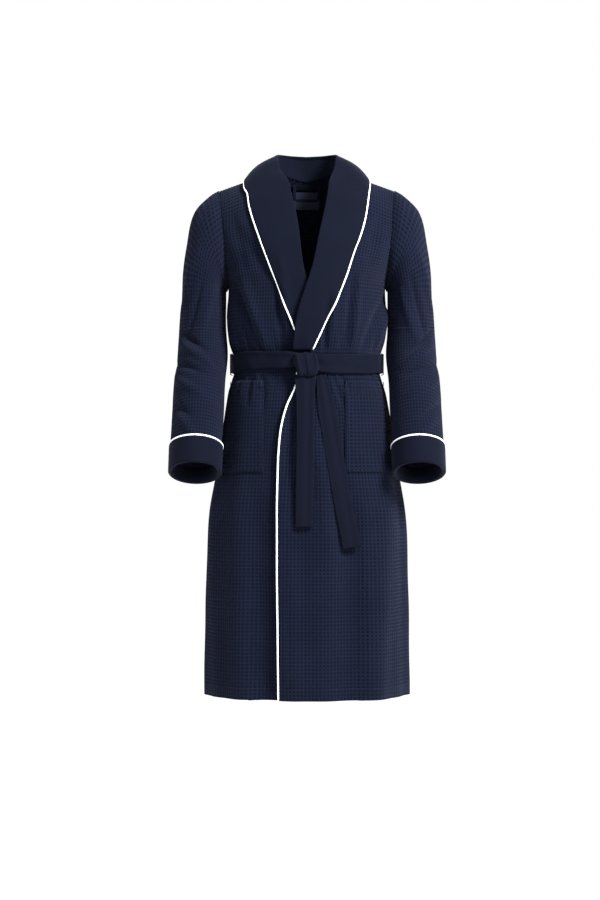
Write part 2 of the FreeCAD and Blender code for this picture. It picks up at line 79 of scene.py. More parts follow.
RIGHT_LAPEL = np.array([(-37, -128), (-58, -125), (-152, -95), (-220, -70), (-335, -24), (-378, -8)], float)
LEFT_EDGE = np.array([(-378, -26), (-420, -22), (-448, -23), (-494, -43), (-536, -54), (-585, -60),
                      (-660, -63), (-1121, -62)], float)
RIGHT_EDGE_X = 118.0

CELL = 7.8                  # one cell of the waffle weave
STEP = CELL / 2             # grid step: one vertex on each ridge and one in each pit
RELIEF = 1.5                # depth of the pits under the ridges


# ---------------------------------------------------------------- interpolation
def along(table, key, column=1):
    """Smooth value of a column of a table over its first column, for an array of keys."""
    rows = table[np.argsort(table[:, 0])]
    keys, vals = rows[:, 0], rows[:, column]
    slopes = np.diff(vals) / np.diff(keys)
    tangents = np.concatenate([[slopes[0]], (slopes[:-1] + slopes[1:]) / 2, [slopes[-1]]])
    key = np.clip(np.asarray(key, float), keys[0], keys[-1])
    i = np.clip(np.searchsorted(keys, key, side="right") - 1, 0, len(keys) - 2)
    h = keys[i + 1] - keys[i]
    t = (key - keys[i]) / h
    return (vals[i] * (1 + 2 * t) * (1 - t) ** 2 + vals[i + 1] * t * t * (3 - 2 * t)
            + h * tangents[i] * t * (1 - t) ** 2 - h * tangents[i + 1] * t * t * (1 - t))


def ease(t):
    t = np.clip(t, 0.0, 1.0)
    return t * t * (3 - 2 * t)


def mix(a, b, t):
    return a + (b - a) * t


# ---------------------------------------------------------------- shape of the robe's body
def shoulder_z(x):
    return SHOULDER_TIP_Z + (SHOULDER_TIP_X - np.hypot(x, 20)) * SHOULDER_SLOPE


def turn_of_x(x, z):
    share = np.clip(x / along(SECTIONS, z, 1), -1, 1)
    return np.arctan2(share, np.maximum(1 - np.abs(share) ** POWER, 0) ** (1 / POWER))


def section(turn, z, out=0.0):
    """x and y on the level section at height z."""
    sin_t, cos_t = np.sin(turn), np.cos(turn)
    reach = (np.abs(sin_t) ** POWER + np.abs(cos_t) ** POWER) ** (-1 / POWER)
    depth = np.where(cos_t > 0, along(SECTIONS, z, 2), along(SECTIONS, z, 3))
    return (along(SECTIONS, z, 1) + out) * reach * sin_t, -(depth + out) * reach * cos_t


def rounding(x, z):
    t = np.clip((shoulder_z(x) - z) / SHOULDER_ROUND, 0, 1)
    return np.sqrt(1 - (1 - t) ** 2)


def side_x(z):
    return along(SECTIONS, z, 1)


def left_out(x, z):
    """How far the overlapping front stands off the section."""
    sideways = 1 - ease((x - RIGHT_EDGE_X) / (side_x(z) - RIGHT_EDGE_X))
    return LAYER * sideways * ease((-60 - z) / 120)


def surface(x, z, out=0.0, back=False):
    """Points of the front or back at x, z (arrays), lifted along the cloth's normal."""
    z = np.minimum(z, shoulder_z(x) - 0.01)
    turn = turn_of_x(x, z)
    px, py = section(np.pi - turn if back else turn, z)
    rnd = rounding(x, z)
    t = np.minimum((shoulder_z(x) - z) / SHOULDER_ROUND, 1)
    depth = along(SECTIONS, z, 3 if back else 2)
    ny = (1 if back else -1) * rnd / depth
    nz = (1 - t) / SHOULDER_ROUND
    length = np.hypot(ny, nz)
    py = mix(SHOULDER_Y, py, rnd)
    return np.stack([px, py + out * ny / length, z + out * nz / length], -1)


# ---------------------------------------------------------------- folds
def crease(x, z, x0, z0, x1, z1, width, depth):
    """Smooth valley (depth < 0) or ridge along a line, fading out at both ends."""
    dx, dz = x1 - x0, z1 - z0
    length = math.hypot(dx, dz)
    run = ((x - x0) * dx + (z - z0) * dz) / length ** 2
    off = ((x - x0) * dz - (z - z0) * dx) / length
    fade = np.sin(np.pi * np.clip(run, 0, 1)) ** 0.8
    return depth * fade * np.exp(-(off / width) ** 2)


# ---------------------------------------------------------------- meshes
def grid_normals(points):
    along_rows = np.gradient(points, axis=0)
    along_cols = np.gradient(points, axis=1)
    normal = np.cross(along_rows, along_cols)
    length = np.linalg.norm(normal, axis=-1, keepdims=True)
    return normal / np.maximum(length, 1e-9)


def add_object(name, data):
    obj = bpy.data.objects.new(name, data)
    bpy.context.scene.collection.objects.link(obj)
    return obj


def add_mesh(name, points, uv, material, wrap=False):
    """Mesh of a grid of points in millimetres; uv holds cloth coordinates for the weave."""
    rows, cols = points.shape[:2]
    index = np.arange(rows * cols).reshape(rows, cols)
    if wrap:
        index = np.concatenate([index, index[:, :1]], axis=1)
    quads = np.stack([index[:-1, :-1], index[1:, :-1], index[1:, 1:], index[:-1, 1:]], -1).reshape(-1, 4)
    flat = points.reshape(-1, 3)
    diag = np.cross(flat[quads[:, 2]] - flat[quads[:, 0]], flat[quads[:, 3]] - flat[quads[:, 1]])
    quads = quads[np.linalg.norm(diag, axis=1) > 0.3]
    mesh = bpy.data.meshes.new(name)
    mesh.from_pydata((flat * MM).tolist(), [], quads.tolist())
    layer = mesh.uv_layers.new(name="UVMap")
    loops = np.empty(len(mesh.loops), int)
    mesh.loops.foreach_get("vertex_index", loops)
    flat_uv = uv.reshape(-1, 2)[loops]
    if wrap:
        flat_uv = unwrap_seam(flat_uv)
    layer.data.foreach_set("uv", flat_uv.ravel().astype(np.float32))
    work = bmesh.new()
    work.from_mesh(mesh)
    bmesh.ops.remove_doubles(work, verts=work.verts, dist=0.00005)
    bmesh.ops.dissolve_degenerate(work, dist=0.00005, edges=work.edges)
    loose = [v for v in work.verts if not v.link_faces]
    bmesh.ops.delete(work, geom=loose, context="VERTS")
    for face in work.faces:
        face.smooth = True
    work.to_mesh(mesh)
    work.free()
    mesh.materials.append(material)
    return add_object(name, mesh)


def unwrap_seam(flat_uv):
    """Let the faces that close a ring run on past the last column instead of back to zero."""
    corners = flat_uv.reshape(-1, 4, 2)
    jump = corners[:, :, 0].max(axis=1) - corners[:, :, 0].min(axis=1) > 4
    low = corners[:, :, 0] < corners[:, :, 0].mean(axis=1, keepdims=True)
    corners[:, :, 0] += np.where(jump[:, None] & low, np.round(corners[:, :, 0].max() + 0.5), 0)
    return corners.reshape(-1, 2)


def thicken(obj, thickness):
    """Give a sheet its thickness, grown inwards from the outer face."""
    mod = obj.modifiers.new("thickness", "SOLIDIFY")
    mod.thickness = thickness * MM
    mod.offset = -1.0
    mod.use_even_offset = False
    mod.use_quality_normals = True
    apply_modifiers(obj)
    return obj


def apply_modifiers(obj):
    graph = bpy.context.evaluated_depsgraph_get()
    mesh = bpy.data.meshes.new_from_object(obj.evaluated_get(graph))
    obj.modifiers.clear()
    obj.data = mesh


# ---------------------------------------------------------------- materials
def shader(name, colour, roughness, sheen):
    mat = bpy.data.materials.new(name)
    mat.use_nodes = True
    bsdf = mat.node_tree.nodes["Principled BSDF"]
    bsdf.inputs["Base Color"].default_value = (*colour, 1)
    bsdf.inputs["Roughness"].default_value = roughness
    bsdf.inputs["Sheen Weight"].default_value = sheen
    bsdf.inputs["Sheen Roughness"].default_value = 0.45
    bsdf.inputs["Sheen Tint"].default_value = (0.55, 0.62, 1.0, 1)
    bsdf.inputs["Specular IOR Level"].default_value = 0.05
    return mat, mat.node_tree, bsdf


def math_node(tree, operation, a, b=None):
    node = tree.nodes.new("ShaderNodeMath")
    node.operation = operation
    for socket, value in zip(node.inputs, (a, b)):
        if value is None:
            continue
        if isinstance(value, (int, float)):
            socket.default_value = value
        else:
            tree.links.new(value, socket)
    return node.outputs[0]


def noise(tree, coordinates, scale, detail=3.0):
    node = tree.nodes.new("ShaderNodeTexNoise")
    node.inputs["Scale"].default_value = scale
    node.inputs["Detail"].default_value = detail
    tree.links.new(coordinates, node.inputs["Vector"])
    return node.outputs["Fac"]


def colour_ramp(tree, value, stops):
    node = tree.nodes.new("ShaderNodeValToRGB")
    ramp = node.color_ramp
    while len(ramp.elements) < len(stops):
        ramp.elements.new(0.5)
    for element, (place, colour) in zip(ramp.elements, stops):
        element.position = place
        element.color = (*colour, 1)
    tree.links.new(value, node.inputs[0])
    return node.outputs[0]


def bump(tree, bsdf, height, distance, strength=1.0):
    node = tree.nodes.new("ShaderNodeBump")
    node.inputs["Strength"].default_value = strength
    node.inputs["Distance"].default_value = distance
    tree.links.new(height, node.inputs["Height"])
    tree.links.new(node.outputs["Normal"], bsdf.inputs["Normal"])


def uv_axes(tree):
    node = tree.nodes.new("ShaderNodeUVMap")
    node.uv_map = "UVMap"
    split = tree.nodes.new("ShaderNodeSeparateXYZ")
    tree.links.new(node.outputs[0], split.inputs[0])
    return node.outputs[0], split.outputs[0], split.outputs[1]


def ridge_wave(tree, coordinate, per_unit):
    """|cos| of a cloth coordinate, per_unit ridges to one unit."""
    angle = math_node(tree, "MULTIPLY", coordinate, math.pi * per_unit)
    return math_node(tree, "ABSOLUTE", math_node(tree, "COSINE", angle))


NAVY_DARK = (0.0005, 0.0009, 0.0028)
NAVY = (0.0016, 0.0026, 0.0076)
NAVY_LIGHT = (0.0043, 0.0064, 0.0165)


def waffle_material():
    mat, tree, bsdf = shader("waffle_cloth", NAVY, 0.9, 0.035)
    uv, u, v = uv_axes(tree)
    ridges = math_node(tree, "MAXIMUM", ridge_wave(tree, u, 1), ridge_wave(tree, v, 1))
    # The ridge wave is both the bump height and painted shade: the colour is lighter on the ridges and darker
    # in the pits.
    ridge_height_and_pit_shade = math_node(tree, "POWER", ridges, 3.0)
    threads = math_node(tree, "MULTIPLY", ridge_wave(tree, u, 9), ridge_wave(tree, v, 9))
    blotch = noise(tree, uv, 0.09)
    fuzz = noise(tree, uv, 11.0, 2.0)
    shade = math_node(tree, "MULTIPLY_ADD", ridge_height_and_pit_shade, 0.5)
    tree.nodes[-1].inputs[2].default_value = 0.12
    shade = math_node(tree, "ADD", shade, math_node(tree, "MULTIPLY", threads, 0.14))
    shade = math_node(tree, "ADD", shade, math_node(tree, "MULTIPLY", blotch, 0.28))
    shade = math_node(tree, "ADD", shade, math_node(tree, "MULTIPLY", fuzz, 0.16))
    # The ramp runs from painted shade in the pits (NAVY_DARK) to painted light on the ridges (NAVY_LIGHT),
    # with random blotch and fuzz tone on top.
    colour = colour_ramp(tree, shade, [(0.15, NAVY_DARK), (0.6, NAVY), (1.0, NAVY_LIGHT)])
    tree.links.new(colour, bsdf.inputs["Base Color"])
    height = math_node(tree, "ADD", math_node(tree, "MULTIPLY", ridge_height_and_pit_shade, 1.0),
                       math_node(tree, "ADD", math_node(tree, "MULTIPLY", threads, 0.22),
                                 math_node(tree, "MULTIPLY", fuzz, 0.2)))
    bump(tree, bsdf, height, 0.0011, 0.9)
    return mat


def ribbed_material(name, ribs, bright):
    """Smooth cloth with fine ribs: collar, cuffs, facings and belt. Cloth coordinates are in waffle cells."""
    mat, tree, bsdf = shader(name, NAVY, 0.85, 0.03)
    uv, u, v = uv_axes(tree)
    rib = ridge_wave(tree, u, ribs)
    cross = ridge_wave(tree, v, ribs * 1.6)
    fuzz = noise(tree, uv, 9.0, 2.0)
    blotch = noise(tree, uv, 0.12)
    shade = math_node(tree, "ADD", math_node(tree, "MULTIPLY", rib, 0.2),
                      math_node(tree, "MULTIPLY", cross, 0.1))
    shade = math_node(tree, "ADD", shade, math_node(tree, "MULTIPLY", fuzz, 0.2))
    shade = math_node(tree, "ADD", shade, math_node(tree, "MULTIPLY", blotch, 0.3))
    shade = math_node(tree, "ADD", shade, bright)
    colour = colour_ramp(tree, shade, [(0.1, NAVY_DARK), (0.6, NAVY), (1.0, NAVY_LIGHT)])
    tree.links.new(colour, bsdf.inputs["Base Color"])
    height = math_node(tree, "ADD", rib,
                       math_node(tree, "MULTIPLY", math_node(tree, "ADD", cross, fuzz), 0.5))
    bump(tree, bsdf, height, 0.0003, 0.7)
    return mat


def piping_material():
    mat, tree, bsdf = shader("white_piping", (0.80, 0.81, 0.85), 0.5, 0.2)
    _, u, v = uv_axes(tree)
    twist = ridge_wave(tree, math_node(tree, "ADD", u, math_node(tree, "MULTIPLY", v, 0.6)), 1.0)
    colour = colour_ramp(tree, twist, [(0.0, (0.66, 0.67, 0.72)), (0.7, (0.84, 0.85, 0.88))])
    tree.links.new(colour, bsdf.inputs["Base Color"])
    bump(tree, bsdf, twist, 0.0002, 0.6)
    return mat


def label_material():
    mat, tree, bsdf = shader("woven_label", (0.02, 0.023, 0.04), 0.6, 0.02)
    _, u, v = uv_axes(tree)
    weave = math_node(tree, "MULTIPLY", ridge_wave(tree, u, 9), ridge_wave(tree, v, 9))
    colour = colour_ramp(tree, weave, [(0.0, (0.012, 0.014, 0.028)), (1.0, (0.022, 0.025, 0.045))])
    tree.links.new(colour, bsdf.inputs["Base Color"])
    bump(tree, bsdf, weave, 0.0001, 0.5)
    return mat


def thread_material():
    mat, tree, bsdf = shader("navy_thread", (0.010, 0.013, 0.030), 0.5, 0.05)
    coordinates = tree.nodes.new("ShaderNodeTexCoord").outputs["Object"]
    fibre = noise(tree, coordinates, 3000.0)
    colour = colour_ramp(tree, fibre, [(0.3, (0.006, 0.008, 0.020)), (0.7, (0.014, 0.018, 0.040))])
    tree.links.new(colour, bsdf.inputs["Base Color"])
    bump(tree, bsdf, fibre, 0.0001, 0.5)
    return mat


# ---------------------------------------------------------------- smooth grids from coarse ones
def spline_axis0(points, parameter, wanted):
    """Cubic interpolation of rows of points placed at a rising parameter."""
    h = np.diff(parameter)
    slopes = np.diff(points, axis=0) / h.reshape(-1, *([1] * (points.ndim - 1)))
    tangents = np.concatenate([slopes[:1], (slopes[:-1] + slopes[1:]) / 2, slopes[-1:]])
    i = np.clip(np.searchsorted(parameter, wanted, side="right") - 1, 0, len(parameter) - 2)
    shape = (-1, *([1] * (points.ndim - 1)))
    width = h[i].reshape(shape)
    t = ((wanted - parameter[i]) / h[i]).reshape(shape)
    return (points[i] * (1 + 2 * t) * (1 - t) ** 2 + points[i + 1] * t * t * (3 - 2 * t)
            + width * tangents[i] * t * (1 - t) ** 2 - width * tangents[i + 1] * t * t * (1 - t))


def refine(points, step, axis=0):
    """Rows (or columns) of a coarse grid filled in at a steady spacing."""
    if axis == 1:
        return refine(points.swapaxes(0, 1), step).swapaxes(0, 1)
    gaps = np.linalg.norm(np.diff(points, axis=0), axis=-1).reshape(len(points) - 1, -1).mean(axis=1)
    parameter = np.concatenate([[0], np.cumsum(gaps)])
    count = max(int(round(parameter[-1] / step)), 2)
    return spline_axis0(points, parameter, np.linspace(0, parameter[-1], count + 1))


def cloth_uv(rows, cols, row_step, col_step):
    """Cloth coordinates, in waffle cells, of a grid with steady spacing in millimetres."""
    u, v = np.meshgrid(np.arange(cols) * col_step / CELL, np.arange(rows) * row_step / CELL)
    return np.stack([u, v], -1)


def weave_uv(rows, cols):
    """Cloth coordinates of a woven grid, whose vertices are half a cell apart."""
    return np.stack(np.meshgrid(np.arange(cols) / 2, np.arange(rows) / 2), -1)


def facing_out(side, points, uv):
    """Columns in the order that faces a grid outwards on the given side of the robe."""
    return (points, uv) if side > 0 else (points[:, ::-1], uv[:, ::-1])


# ---------------------------------------------------------------- folds of the robe's body
def body_folds(turn, x, z, back):
    """Outward shift of the cloth from folds, the same for every layer at one place."""
    above = z > BELT_Z
    from_belt = np.abs(z - BELT_Z)
    held = ease((from_belt - 22) / 60)
    gathers = (np.sin(turn * 37 + 1.3) + 0.7 * np.sin(turn * 61 + 4.0)) * (0.6 + 0.4 * np.sin(turn * 7))
    gathers = gathers * 1.5 * ease((from_belt - 20) / 12) * (1 - ease((from_belt - 30) / 75))
    down = np.clip((BELT_Z - z) / 700, 0, 1)
    flutes = np.sin(turn * 9 + 0.6 + 0.8 * np.sin(z / 230)) + 0.6 * np.sin(turn * 15 + 2.1 + z / 300)
    skirt = flutes * (1.0 + 3.6 * down) * held
    wander = 0.9 * np.sin(x / 23 + z / 61) * np.sin(z / 47 - x / 90) * held
    shift = np.where(above, gathers + wander, gathers + skirt + wander)
    if back:
        for x0, x1, depth in ((-95, -60, 4), (-30, -12, 3.5), (42, 22, 4), (105, 70, 4)):
            shift = shift + crease(x, z, x0, -150, x1, -400, 13, depth)
            shift = shift + crease(x, z, x1, -400, x0, -640, 12, depth * 0.8)
    else:
        for x0, z0, x1, z1, width, depth in FRONT_CREASES:
            shift = shift + crease(x, z, x0, z0, x1, z1, width, depth * FOLD_SCALE)
    return shift * ease((shoulder_z(x) - z - 25) / 70) * armhole_hold(x, z)


def armhole_hold(x, z):
    """0 along the armhole seams, 1 elsewhere."""
    room = np.where(z > UNDERARM_Z - 10, along(ARMHOLE, z) - np.abs(x), 40)
    return ease(room / 30)


FOLD_SCALE = 1.8
# valleys (negative depth) and ridges of the front: x, z of both ends, half width, depth
FRONT_CREASES = [
    (-165, -205, -96, -385, 9, -5.5), (-150, -190, -84, -385, 11, 4.0),
    (-142, -300, -120, -384, 6, -3.5),
    (-66, -215, -50, -384, 7, -4.0), (-60, -150, -34, -384, 9, 2.5),
    (48, -255, 33, -384, 6, -4.0), (62, -235, 46, -384, 8, 3.0),
    (98, -215, 80, -384, 7, -4.5), (112, -200, 95, -384, 9, 3.5),
    (178, -240, 112, -384, 8, -5.5), (182, -270, 140, -384, 8, 4.0),
    (150, -120, 60, -215, 14, -3.0), (-150, -110, -70, -230, 14, -3.0),
    (168, -60, 128, -205, 12, -3.0), (-170, -60, -130, -210, 12, -3.0),
    (24, -425, 30, -500, 4.5, -3.5), (38, -424, 52, -520, 4.5, -3.5), (52, -424, 78, -500, 5, -3.0),
    (70, -424, 92, -470, 5, -2.5), (-20, -470, -52, -700, 14, -4.0), (-90, -424, -98, -520, 7, -2.5),
    (-120, -424, -128, -500, 6, -2.5), (10, -440, 60, -900, 22, 4.0), (95, -650, 110, -1180, 24, -4.5),
    (-120, -560, -100, -1180, 22, -4.5), (-40, -600, -25, -1200, 20, 3.0), (165, -560, 160, -1180, 20, 4.0),
]


# ---------------------------------------------------------------- panels
SIDE_GAP = 0.003            # angle left open at each side seam
SHOULDER_GAP = 0.002        # height left open under the shoulder line
TOP_ARC = 110.0             # length of cloth that rounds over the shoulder


def end_turn(z):
    wide = np.minimum(turn_of_x(along(ARMHOLE, z), z), np.pi / 2 - SIDE_GAP)
    return np.where(z > UNDERARM_Z, wide, np.pi / 2 - SIDE_GAP)


def row_heights():
    """Cloth length from the shoulder line of each row of vertices."""
    level = UNDERARM_Z - HEM_Z
    upper = TOP_ARC + 185.0
    return np.arange(0, upper + level + STEP, STEP), upper


def row_z(length, upper, top_z):
    """Height of the rows under a shoulder line at top_z."""
    round_z = top_z - SHOULDER_ROUND * (1 - np.cos(np.clip(length / TOP_ARC, 0, 1) * np.pi / 2))
    straight = mix(top_z - SHOULDER_ROUND, UNDERARM_Z, np.clip((length - TOP_ARC) / (upper - TOP_ARC), 0, 1))
    z = np.where(length < TOP_ARC, round_z, straight)
    return np.maximum(np.where(length > upper, UNDERARM_Z - (length - upper), z), HEM_Z)


def column_turns():
    """Turn angles of the columns of vertices, evenly spaced round the hip."""
    fine = np.linspace(-np.pi / 2, np.pi / 2, 2001)
    x, y = section(fine, -900.0)
    arc = np.concatenate([[0], np.cumsum(np.hypot(np.diff(x), np.diff(y)))])
    arc -= arc[1000]
    count = int(arc[-1] / STEP)
    places = np.arange(-count - 1, count + 2) * STEP
    return np.interp(places, arc, fine)


def left_inner(z):
    upper = along(LEFT_ROLL, z) + 4
    return np.where(z > CROSSING_Z, upper, along(LEFT_EDGE, z) + 2.0)


def right_inner(z):
    lower = mix(38, RIGHT_EDGE_X, ease((CROSSING_Z - z) / 120))
    return np.where(z > CROSSING_Z, along(RIGHT_ROLL, z) - 4, lower)


def panel_grid(low_turn, high_turn, back=False, top=None, stand_off=None, first=0.0):
    """Middle surface of a panel on weave-aligned rows and columns, clamped to its edges."""
    lengths, upper = row_heights()
    turns = column_turns()
    length = lengths[:, None] + np.zeros_like(turns)[None, :]
    wanted = np.zeros_like(length) + turns[None, :]
    z = row_z(length, upper, SHOULDER_TIP_Z)
    for _ in range(9):
        turn = np.clip(wanted, low_turn(z), high_turn(z))
        x, _ = section(turn, z)
        z = row_z(length, upper, shoulder_z(x) - SHOULDER_GAP)
        if top is not None:
            z = np.minimum(z, top(x))
        z = np.clip(z, HEM_Z, first if first else 1e9)
    x, y = section(np.pi - turn if back else turn, z)
    points = np.stack([x, mix(SHOULDER_Y, y, rounding(x, z)), z], -1)
    if stand_off is not None:
        points[..., 1] -= stand_off(x, z)
    points = points + outward(points) * body_folds(np.pi - turn if back else turn, x, z, back)[..., None]
    return points, weave_uv(*length.shape)


def outward(points):
    """Level direction away from the middle of the robe."""
    away = points * np.array([1.0, 1.35, 0.0])
    return away / np.maximum(np.linalg.norm(away, axis=-1, keepdims=True), 1e-6)


def weave_depth(rows, cols):
    """Depth under the upright ridges: the level ridges lie a little lower, the pits lowest."""
    between = np.arange(cols)[None, :] % 2
    return RELIEF * between * (0.45 + 0.55 * (np.arange(rows)[:, None] % 2))


def near_shoulder_normal(points, back):
    """Outward normals that also point up on the rounded shoulder."""
    normal = grid_normals(points)
    guide = np.stack([points[..., 0] * 0.2, np.full(points.shape[:2], 1.0 if back else -1.0),
                      np.full(points.shape[:2], 0.6)], -1)
    facing = np.sign((normal * guide).sum(-1, keepdims=True))
    facing[facing == 0] = 1
    return normal * facing


def woven(points, back=False, band=None, lift=CLOTH / 2):
    rows, cols = points.shape[:2]
    depth = weave_depth(rows, cols)
    if band is not None:
        depth = depth * band
    return points + near_shoulder_normal(points, back) * (lift - depth)[..., None]


def sheet_piece(name, points, uv, material, thickness, wrap=False):
    return thicken(add_mesh(name, points, uv, material, wrap=wrap), thickness)


# ---------------------------------------------------------------- fronts, back, facings
PANEL_THICK = 1.2
SMOOTH_THICK = 1.6
CORNER_TOP_Z, CORNER_HEM_X = -705.0, 132.0
FACING_WIDTH, FACING_DEPTH, UNDER_FACING_DEPTH = 62.0, 8.7, 3.7
HEM_WIDTH = 25.0


def hem_band(z):
    """Less relief on the turned-up hem."""
    return np.where(z < HEM_Z + HEM_WIDTH, 0.45, 1.0)


def left_front(material):
    points, uv = panel_grid(lambda z: turn_of_x(left_inner(z), z), end_turn, stand_off=left_out)
    x, z = points[..., 0], points[..., 2]
    band = np.where(z < BELT_Z, ease((x - left_inner(z) - 15) / 4), 1.0) * hem_band(z)
    return sheet_piece("left_front", woven(points, band=band), uv, material, PANEL_THICK)


def right_front(material):
    points, uv = panel_grid(lambda z: -end_turn(z), lambda z: turn_of_x(right_inner(z), z))
    return sheet_piece("right_front", woven(points, band=hem_band(points[..., 2])), uv, material, PANEL_THICK)


def back_top(x):
    inside = mix(6, shoulder_z(NECK_X), ease(np.abs(x) / NECK_X))
    return np.where(np.abs(x) >= NECK_X, shoulder_z(x) - SHOULDER_GAP, inside)


def back(material):
    points, uv = panel_grid(lambda z: -end_turn(z), end_turn, back=True, top=back_top)
    face = woven(points, back=True, band=hem_band(points[..., 2]))
    return sheet_piece("back", face[:, ::-1], uv[:, ::-1], material, PANEL_THICK)


def facing(name, low_x, high_x, stand_off, first, material):
    points, uv = panel_grid(lambda z: turn_of_x(low_x(z), z), lambda z: turn_of_x(high_x(z), z),
                            stand_off=stand_off, first=first)
    return sheet_piece(name, points, uv, material, SMOOTH_THICK)


# ---------------------------------------------------------------- cords
PIPING_RADIUS = 1.9


def rod(name, path, radius, material, closed=False, sides=8):
    """Round cord along a path; sections are carried along without twisting."""
    count = len(path)
    rings = np.zeros((count, sides, 3))
    side = np.array([0.31, 0.52, 0.79])
    angles = np.arange(sides) * 2 * np.pi / sides
    for i in range(count):
        if closed:
            ahead = path[(i + 1) % count] - path[i - 1]
        else:
            ahead = path[min(i + 1, count - 1)] - path[max(i - 1, 0)]
        ahead = ahead / np.linalg.norm(ahead)
        side = side - ahead * side.dot(ahead)
        side = side / np.linalg.norm(side)
        up = np.cross(side, ahead)
        shrink = 0.55 if not closed and i in (0, count - 1) else 1.0
        rings[i] = path[i] + radius * shrink * (np.outer(np.cos(angles), side) + np.outer(np.sin(angles), up))
    if closed:
        rings = np.concatenate([rings, rings[:1]])
    else:
        middle = rings.mean(axis=1, keepdims=True)
        rings = np.concatenate([middle[:1] + (rings[:1] - middle[:1]) * 0.02, rings,
                                middle[-1:] + (rings[-1:] - middle[-1:]) * 0.02])
    uv = cloth_uv(len(rings), sides, 8.0, 2.0)
    return add_mesh(name, rings, uv, material, wrap=True)


# ---------------------------------------------------------------- collar
NECK_STATIONS = [
    ((0.1, 64, 60), 0.1, -16, True), ((34, 58, 61), 50, -17, True), ((56, 38, 61), 92, -17, True),
    ((65, 19, 59), 118, -9, True), ((67, 2, 53), 130, 99, False), ((65, -16, 41), 136, -10, False),
    ((60, -36, 20), 135, -26, False)]
COLLAR_LIFT = 8.4
FOLD_R = 1.5


def collar_grid(side, roll, lapel, out):
    """Fall of the collar: rows from centre back to belt, columns from the roll line to the outer edge."""
    grid = []
    share = np.linspace(0, 1, 7)
    for roll_point, outer_x, outer_z, on_back in NECK_STATIONS:
        outer = surface(np.array(float(outer_x)), np.array(float(outer_z)), COLLAR_LIFT, on_back)
        line = mix(np.array(roll_point, float), outer, share[:, None])
        swell = line * np.array([1, 1, 0]) + np.array([-1.6, 0, 70])
        swell /= np.linalg.norm(swell, axis=1, keepdims=True)
        line = line + swell * 9 * np.sin(np.pi * share)[:, None]
        grid.append(line * np.array([side, 1, 1]))
    for v in np.linspace(0, 1, 15):
        roll_z, lapel_z = mix(-10, -376, v), mix(-40, -376, v)
        z = mix(roll_z, lapel_z, share)
        x = mix(along(roll, roll_z), along(lapel, lapel_z), share)
        line = surface(x, z, COLLAR_LIFT + out(x, z))
        shift = body_folds(turn_of_x(x, z), x, z, False)
        grid.append(line + outward(line) * shift[:, None])
    return refine(refine(np.array(grid), 4.0), 3.9, axis=1)


def collar(name, side, roll, lapel, out, cloth, white):
    """One half of the shawl collar, folded over at its roll, with piping along its edge."""
    top = collar_grid(side, roll, lapel, out)
    normal = grid_normals(top) * side
    under = top - normal * 2 * FOLD_R
    middle = (top[:, 0] + under[:, 0]) / 2
    inwards = top[:, 0] - top[:, 1]
    inwards /= np.linalg.norm(inwards, axis=1, keepdims=True)
    turn = []
    for angle in np.linspace(0, np.pi, 7)[1:-1]:
        turn.append(middle + normal[:, 0] * FOLD_R * math.cos(angle) + inwards * FOLD_R * math.sin(angle))
    folded = np.concatenate([top[:, ::-1], np.array(turn).swapaxes(0, 1), under[:, :-2]], axis=1)
    folded, uv = facing_out(side, folded, cloth_uv(*folded.shape[:2], 4.0, 3.9))
    obj = sheet_piece(name + "_lapel", folded, uv, cloth, 1.1)
    outwards = top[:, -1] - top[:, -2]
    outwards /= np.linalg.norm(outwards, axis=1, keepdims=True)
    edge = top[:, -1] + outwards * 1.3 - normal[:, -1] * 0.5
    piping = rod(name + "_lapel_piping", edge, PIPING_RADIUS, white)
    return obj, piping


def collar_stand(cloth):
    """Upright band inside the neck, from the neck seam to the roll of the collar."""
    roll, seam = [], []
    for (x, y, z), _, _, on_back in NECK_STATIONS[:6]:
        roll.append((x, y, z - 1.5))
        if on_back and x < 60:
            seam.append(surface(np.array(float(x)), back_top(np.array(float(x))), -1.0, True))
    seam += [np.array((68.0, 13.0, 20.0)), np.array((66.0, -3.0, 19.0)), np.array((63.0, -18.0, 17.0))]
    half = np.array([roll, seam]).swapaxes(0, 1)
    whole = np.concatenate([half[::-1] * np.array([-1, 1, 1]), half[1:]])
    rows = refine(whole, 4.0)
    share = np.linspace(0, 1, 14)[None, :, None]
    points = rows[:, :1] * (1 - share) + rows[:, 1:] * share
    points = points + outward(points) * 1.5 * np.sin(np.pi * share)
    return sheet_piece("collar_stand", points, cloth_uv(*points.shape[:2], 4.0, 4.0), cloth, 1.2)


# ---------------------------------------------------------------- sleeves
RING = 112
HEAD = [(10, 211, 81), (21, 188, 83), (42, 129, 84), (66, 103, 84), (90, 96, 84)]
UPPER_ARM = [(-270, 179, 272, -3, 83, 0), (-300, 179, 275, -8, 81, 0), (-330, 178, 277, -12, 79, 0)]
LOWER_ARM = np.array([
    (-332, 178, 277, -12, 79, 0), (-380, 175, 281, -25, 76, 9), (-434, 179, 285, -47, 73, 16),
    (-500, 181, 288, -72, 71, 19), (-570, 185, 290, -97, 69, 20), (-637, 187, 291, -120, 68, 20)], float)
CUFF_TOP_Z, SLEEVE_END_Z = -583.0, -634.0
SPLIT_Z = -324.0            # the upper sleeve's cloth meets the lower one's here
CUFF_GROW, CUFF_CORD_GROW = 4.4, 4.9    # how far cuff and piping stand out from the sleeve
CUFF_LIP = ((-3, 3.6), (-3, 1.4), (-1, -2.2), (25, -2.6))   # height over the sleeve's end, and stand-out
RING_TURNS = np.arange(RING) * 2 * np.pi / RING
